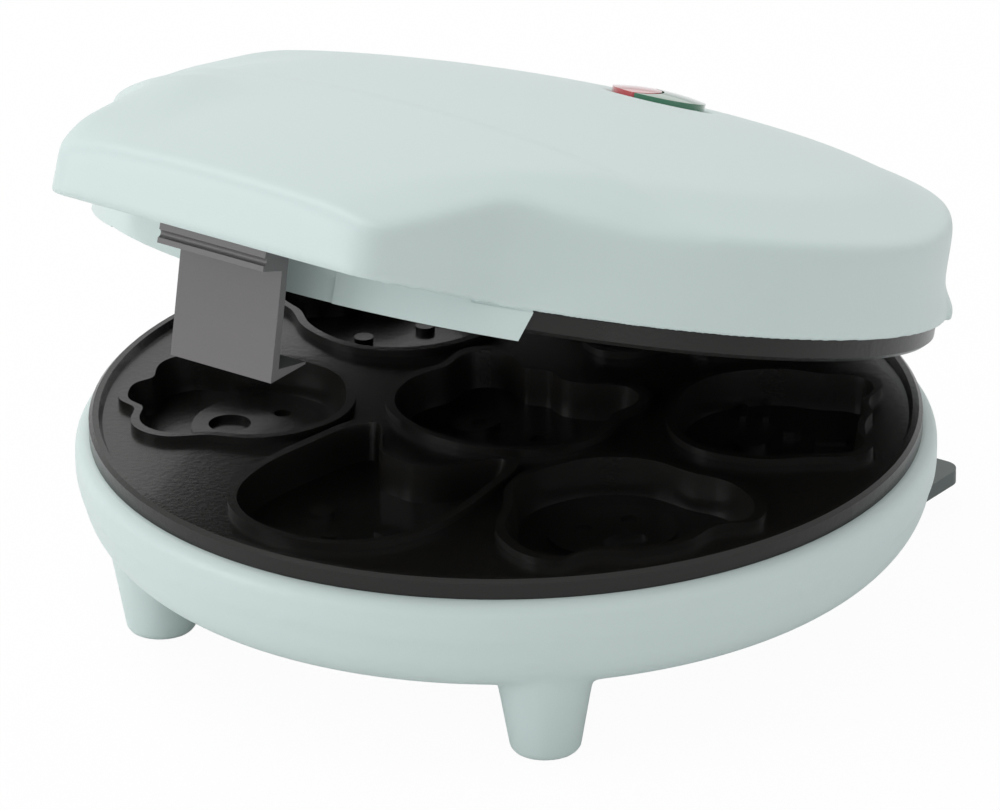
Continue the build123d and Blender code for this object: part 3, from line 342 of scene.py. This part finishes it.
# %% Averaging
def average(piece, mask, rounds):
    """Moves each vertex towards the middle of its neighbours, as far as its mask allows."""
    mesh = piece.data
    count = len(mesh.vertices)
    places = points_of(mesh)
    ends = np.empty(len(mesh.edges) * 2, dtype=np.int64)
    mesh.edges.foreach_get("vertices", ends)
    ends = ends.reshape(-1, 2)
    first, second = ends[:, 0], ends[:, 1]
    valence = np.bincount(first, minlength=count) + np.bincount(second, minlength=count)
    valence = np.maximum(valence, 1)[:, None]
    share = mask(places)[:, None] * 0.5
    for _ in range(rounds):
        total = np.zeros_like(places)
        for axis in range(3):
            total[:, axis] += np.bincount(first, places[second, axis], minlength=count)
            total[:, axis] += np.bincount(second, places[first, axis], minlength=count)
        places += share * (total / valence - places)
    put_points(mesh, places)
    mesh.shade_smooth()
    print(piece.name, "vertices:", count)


def ease(value, low, high):
    """Smooth step from 0 at low to 1 at high."""
    share = np.clip((value - low) / (high - low), 0, 1)
    return share * share * (3 - 2 * share)


# %% [markdown]
# ## The lid's form
# The solid's crown is a plain cap of a ball. On the real lid the crown falls faster towards its edge, the
# shoulder is fuller at the rear, the wall there leans in a little above the bead, and the nose is slightly
# wider at its front. In the photograph the far left shoulder also looks lower than a mirrored right one
# would, and it runs smoothly into the nose. That outline is followed here, though the real lid is probably
# the same on both sides. The form could be modelled anew, but then every edge would have to be fitted
# again. Instead each point keeps its share of the height between two simple surfaces, so the wall
# stretches and nothing tears.

# %% Sizes of the two forms
SOLID_TOP, SOLID_EDGE, SOLID_REACH = 0.1035, 0.098, 0.0955
SOLID_SHOULDER_SLOPE = 0.0125 / 0.016
SOLID_NOSE_TOP, SOLID_NOSE_FRONT, SOLID_NOSE_SLOPE = 0.0866, 0.1415, 0.2642
CROWN_TOP, CROWN_EDGE, CROWN_REACH = 0.1020, 0.0943, 0.090
SHOULDER_WIDTH = 0.0215
WALL_TOP, REAR_RISE = 0.0855, 0.0035
NOSE_TOP, NOSE_FRONT, NOSE_SLOPE = 0.0864, 0.142, 0.2666
SOLID_NOSE_BOW, NOSE_BOW = 0.41, 0.36
NOSE_OVER_CROWN = 0.0015
NOSE_FROM = -0.060
RIM_HEIGHT = 0.0615
NOSE_WIDER, NOSE_LONGER, WALL_LEAN = 0.0028, 0.0009, 0.0026
LEFT_NOSE_RISE, LEFT_SHOULDER_FALL = 0.0046, 0.0040


# %% Upper surfaces
def cap(reach, top, edge, edge_reach):
    """Height of a crown that falls with the square of the reach."""
    return top - (top - edge) * (reach / edge_reach) ** 2


def solid_top(x, y):
    """Height of the solid's upper surface, in the closed lid's frame."""
    reach = np.hypot(x, y)
    crown = cap(reach, SOLID_TOP, SOLID_EDGE, SOLID_REACH)
    shoulder = SOLID_EDGE - (reach - SOLID_REACH) * SOLID_SHOULDER_SLOPE
    ridge = SOLID_NOSE_TOP + (y + SOLID_NOSE_FRONT) * SOLID_NOSE_SLOPE - x * x / SOLID_NOSE_BOW
    nose = np.minimum(ridge, crown)
    dome = np.where(reach < SOLID_REACH, crown, shoulder)
    return np.where(y < NOSE_FROM, np.maximum(dome, nose), dome)


def seen_top(x, y):
    """Height of the real lid's upper surface, in the same frame."""
    reach = np.hypot(x, y)
    crown = cap(reach, CROWN_TOP, CROWN_EDGE, CROWN_REACH)
    wall_top = WALL_TOP + REAR_RISE * ease(y, 0.010, 0.080)
    shoulder = CROWN_EDGE + (reach - CROWN_REACH) * (wall_top - CROWN_EDGE) / SHOULDER_WIDTH
    ridge = NOSE_TOP + (y + NOSE_FRONT) * NOSE_SLOPE - x * x / NOSE_BOW
    nose = np.minimum(ridge, crown + NOSE_OVER_CROWN)
    dome = np.where(reach < CROWN_REACH, crown, shoulder)
    beside = ease(-x, 0.030, 0.060) * ease(-y, 0.070, 0.095) * ease(0.141 + y, 0, 0.014)
    nose += LEFT_NOSE_RISE * beside
    dome -= LEFT_SHOULDER_FALL * ease(-x, 0.060, 0.090) * ease(0.005 - y, 0, 0.045)
    return np.where(y < NOSE_FROM, np.maximum(dome, nose), dome)


# %% Move the points
def seen_lid(places):
    """Moves the solid's points to the real lid's surface."""
    x, y, z = closed_places(places).T
    solid = solid_top(x, y)
    half_way = RIM_HEIGHT + 0.5 * (solid - RIM_HEIGHT)
    lift = (seen_top(x, y) - solid) * ease(z, half_way, solid - 0.0005)
    front = ease(-y, 0.085, 0.135)
    wide = NOSE_WIDER * front * ease(abs(x), 0.020, 0.045) * np.sign(x)
    reach = np.maximum(np.hypot(x, y), 0.001)
    lean = WALL_LEAN * ease(y, 0, 0.070) * ease(z, 0.0655, 0.070) * ease(reach, 0.085, 0.105)
    moved_y = -NOSE_LONGER * front - lean * y / reach
    moved = places.copy()
    moved[:, 0] += wide - lean * x / reach
    moved[:, 1] += moved_y * math.cos(OPEN) + lift * math.sin(OPEN)
    moved[:, 2] += lift * math.cos(OPEN) - moved_y * math.sin(OPEN)
    return moved


# %% [markdown]
# ## The lid shell
# This is the mint moulding that one sees most, with the nose that is also the handle. A bevel on the
# solid's creases would give rounds of one width. The averaged cells give rounds that widen where two
# slopes meet gently, as on the real lid. The mask lets go of the top and the flanks. It nearly holds the
# lower edge, and it holds the hinge web, because these have to keep meeting the other pieces.


# %% Lid shell
def lid_mask(places):
    """Free on the lid's top and flanks, held near its lower edge and at the hinge."""
    closed = closed_places(places)
    nose_rise = np.clip((-closed[:, 1] - 0.092) / 0.0495, 0, 1) * 0.0065
    above = ease(closed[:, 2] - RIM_HEIGHT - nose_rise, 0.0006, 0.006)
    hinge = ease(closed[:, 1], 0.104, 0.112) * ease(0.031 - abs(closed[:, 0]), 0, 0.004)
    return np.maximum(0.12, above) * (1 - hinge)


lid_shell = cell_copy("upper_housing", "lid_shell", CLOSE)
put_points(lid_shell.data, seen_lid(points_of(lid_shell.data)))
average(lid_shell, lid_mask, 36)
lid_shell.data.materials.clear()
lid_shell.data.materials.append(MINT)
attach(lid_shell, "lid")
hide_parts("upper_housing")

# %% [markdown]
# ## The bowl shell
# The bowl and its four legs are one moulding, and the legs flow into the belly. Fourteen rounds are
# enough for that smaller softness. The rim that carries the plate, the hinge lugs and the soles are held.


# %% Bowl shell
def bowl_mask(places):
    """Free on the bowl and the legs, held at the rim, the hinge lugs and the soles."""
    rim = ease(0.0465 - places[:, 2], 0, 0.004)
    lugs = ease(places[:, 1], 0.098, 0.104) * ease(0.040 - abs(places[:, 0]), 0, 0.003)
    sole = ease(places[:, 2], 0.0015, 0.004)
    return rim * (1 - lugs) * np.maximum(0.1, sole)


bowl_shell = cell_copy("lower_housing", "bowl_shell")
average(bowl_shell, bowl_mask, 14)
bowl_shell.data.materials.clear()
bowl_shell.data.materials.append(MINT)
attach(bowl_shell, "base")
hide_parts("lower_housing")

# %% [markdown]
# ## The apron's long left end
# The apron is the thin inner wall that hangs under the lid at the front. Seen from the latch, it runs on
# further round the plate on the left than on the right, where it stops short. A curve with a profile could
# draw it. The end piece is the same wall swept on round the same centre, written as rings of four corners,
# because its flare and its drop are then two numbers. A second, hidden ring seats the apron's top edge
# against the lid, so that no slit of light shows between them.

# %% Place on the lid
APRON_TOP = 0.0615
APRON_FOOT = 0.0539


def lid_place(angle, reach, height):
    """Place on the open lid. The angle is in degrees from the front, positive to the right, and the
    height is on the closed lid."""
    turn = math.radians(angle)
    y = -reach * math.cos(turn) - HINGE.y
    z = height - HINGE.z
    return Vector((
        reach * math.sin(turn),
        HINGE.y + y * math.cos(OPEN) + z * math.sin(OPEN),
        HINGE.z - y * math.sin(OPEN) + z * math.cos(OPEN),
    ))


# %% Ring pieces
def ring_piece(name, inner, outer, low, high, start, stop, flare=0.0, drop=0.0, steps=40):
    """A closed piece of upright ring on the lid. The flare and the drop grow towards the start."""
    corners, faces = [], []
    for step in range(steps + 1):
        angle = start + (stop - start) * step / steps
        wide, deep = flare * (1 - step / steps), drop * (1 - step / steps)
        for reach, height in ((inner, low - deep), (outer, low - deep), (outer, high), (inner, high)):
            corners.append(lid_place(angle, reach + wide, height))
    for step in range(steps):
        base = 4 * step
        for side in range(4):
            after = (side + 1) % 4
            faces.append((base + side, base + after, base + 4 + after, base + 4 + side))
    faces.append((0, 3, 2, 1))
    faces.append(tuple(4 * steps + side for side in range(4)))
    mesh = bpy.data.meshes.new(name)
    mesh.from_pydata(corners, [], faces)
    mesh.shade_smooth()
    mesh.set_sharp_from_angle(angle=math.radians(40))
    mesh.materials.append(MINT)
    piece = bpy.data.objects.new(name, mesh)
    bpy.context.scene.collection.objects.link(piece)
    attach(piece, "lid")
    print(name, "faces:", len(mesh.polygons))


ring_piece("apron_end", 0.1095, 0.1114, 0.0536, 0.0625, -54, -36.9, flare=0.0010, drop=0.0010)
ring_piece("apron_seat", 0.1090, 0.1112, 0.0606, 0.0632, -54, 35.9)

# %% [markdown]
# ## The apron's right end
# On the right the apron ends in a cut that slants back towards its foot. The solid's end is square and a
# little too long. A Boolean would need a cutter object, so a copy of the wall is sliced by one plane
# through three places on the cut, and the open end is closed with a face.

# %% Apron wall
apron_wall = bpy.data.objects.new("apron_wall", nodes["front_apron"].data.copy())
bpy.context.scene.collection.objects.link(apron_wall)
cut_top = lid_place(36.0, 0.111, APRON_TOP)
cut_foot = lid_place(34.7, 0.111, APRON_FOOT)
cut_inside = lid_place(36.0, 0.100, APRON_TOP)
across = (cut_foot - cut_top).cross(cut_inside - cut_top).normalized()
if across.dot(lid_place(45, 0.111, 0.058) - cut_top) < 0:
    across = -across

form = bmesh.new()
form.from_mesh(apron_wall.data)
everything = form.verts[:] + form.edges[:] + form.faces[:]
cut = bmesh.ops.bisect_plane(form, geom=everything, plane_co=cut_top, plane_no=across, clear_outer=True)
bmesh.ops.holes_fill(form, edges=[edge for edge in cut["geom_cut"] if isinstance(edge, bmesh.types.BMEdge)])
form.to_mesh(apron_wall.data)
form.free()
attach(apron_wall, "lid")
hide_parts("front_apron")
print("apron wall faces:", len(apron_wall.data.polygons))

# %% [markdown]
# ## The signal lenses
# A red and a green lens share one round window in the crown, and stand just proud of it. The real crown
# is about 2.4 mm lower there than the solid's. Copies of the lenses are let down by a little over half of
# that, which is where the photograph shows them, so they stand prouder than the solids do. A modifier
# could do that too, but a moved copy is plainer to read.

# %% Lenses
LENS_DROP = 0.0013


def sunk_lens(node):
    """The lens of a node, let down to the real crown."""
    lens = bpy.data.objects.new(node + "_cap", nodes[node].data.copy())
    bpy.context.scene.collection.objects.link(lens)
    places = points_of(lens.data)
    places[:, 1] -= LENS_DROP * math.sin(OPEN)
    places[:, 2] -= LENS_DROP * math.cos(OPEN)
    put_points(lens.data, places)
    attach(lens, "lid")
    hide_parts(node)
    print(lens.name, "let down by", LENS_DROP)
    return lens


lenses = [sunk_lens("red_lens"), sunk_lens("green_lens")]

# %% [markdown]
# ## Small rounds on the other pieces
# Cast plates, pressed sheets and small mouldings have edge rounds under a millimetre. Cells that small
# would be millions, so here a bevel on every sharp edge of the solid catches the light as the real edge
# does.


# %% Edge rounds
def round_edges(piece, width):
    """Bevels the sharp edges of a solid and shades it smooth."""
    piece.data.shade_smooth()
    bevel = piece.modifiers.new("edge_round", "BEVEL")
    bevel.width = width
    bevel.segments = 3
    bevel.limit_method = "ANGLE"
    bevel.angle_limit = math.radians(35)
    bevel.harden_normals = True


for node, width in {
    "lower_plate": 0.0006, "upper_plate": 0.0006, "latch": 0.0005, "cord_wrap": 0.0012,
    "cord_outlet": 0.0005,
}.items():
    round_edges(nodes[node], width)
for piece in (apron_wall, *lenses):
    round_edges(piece, 0.0004)
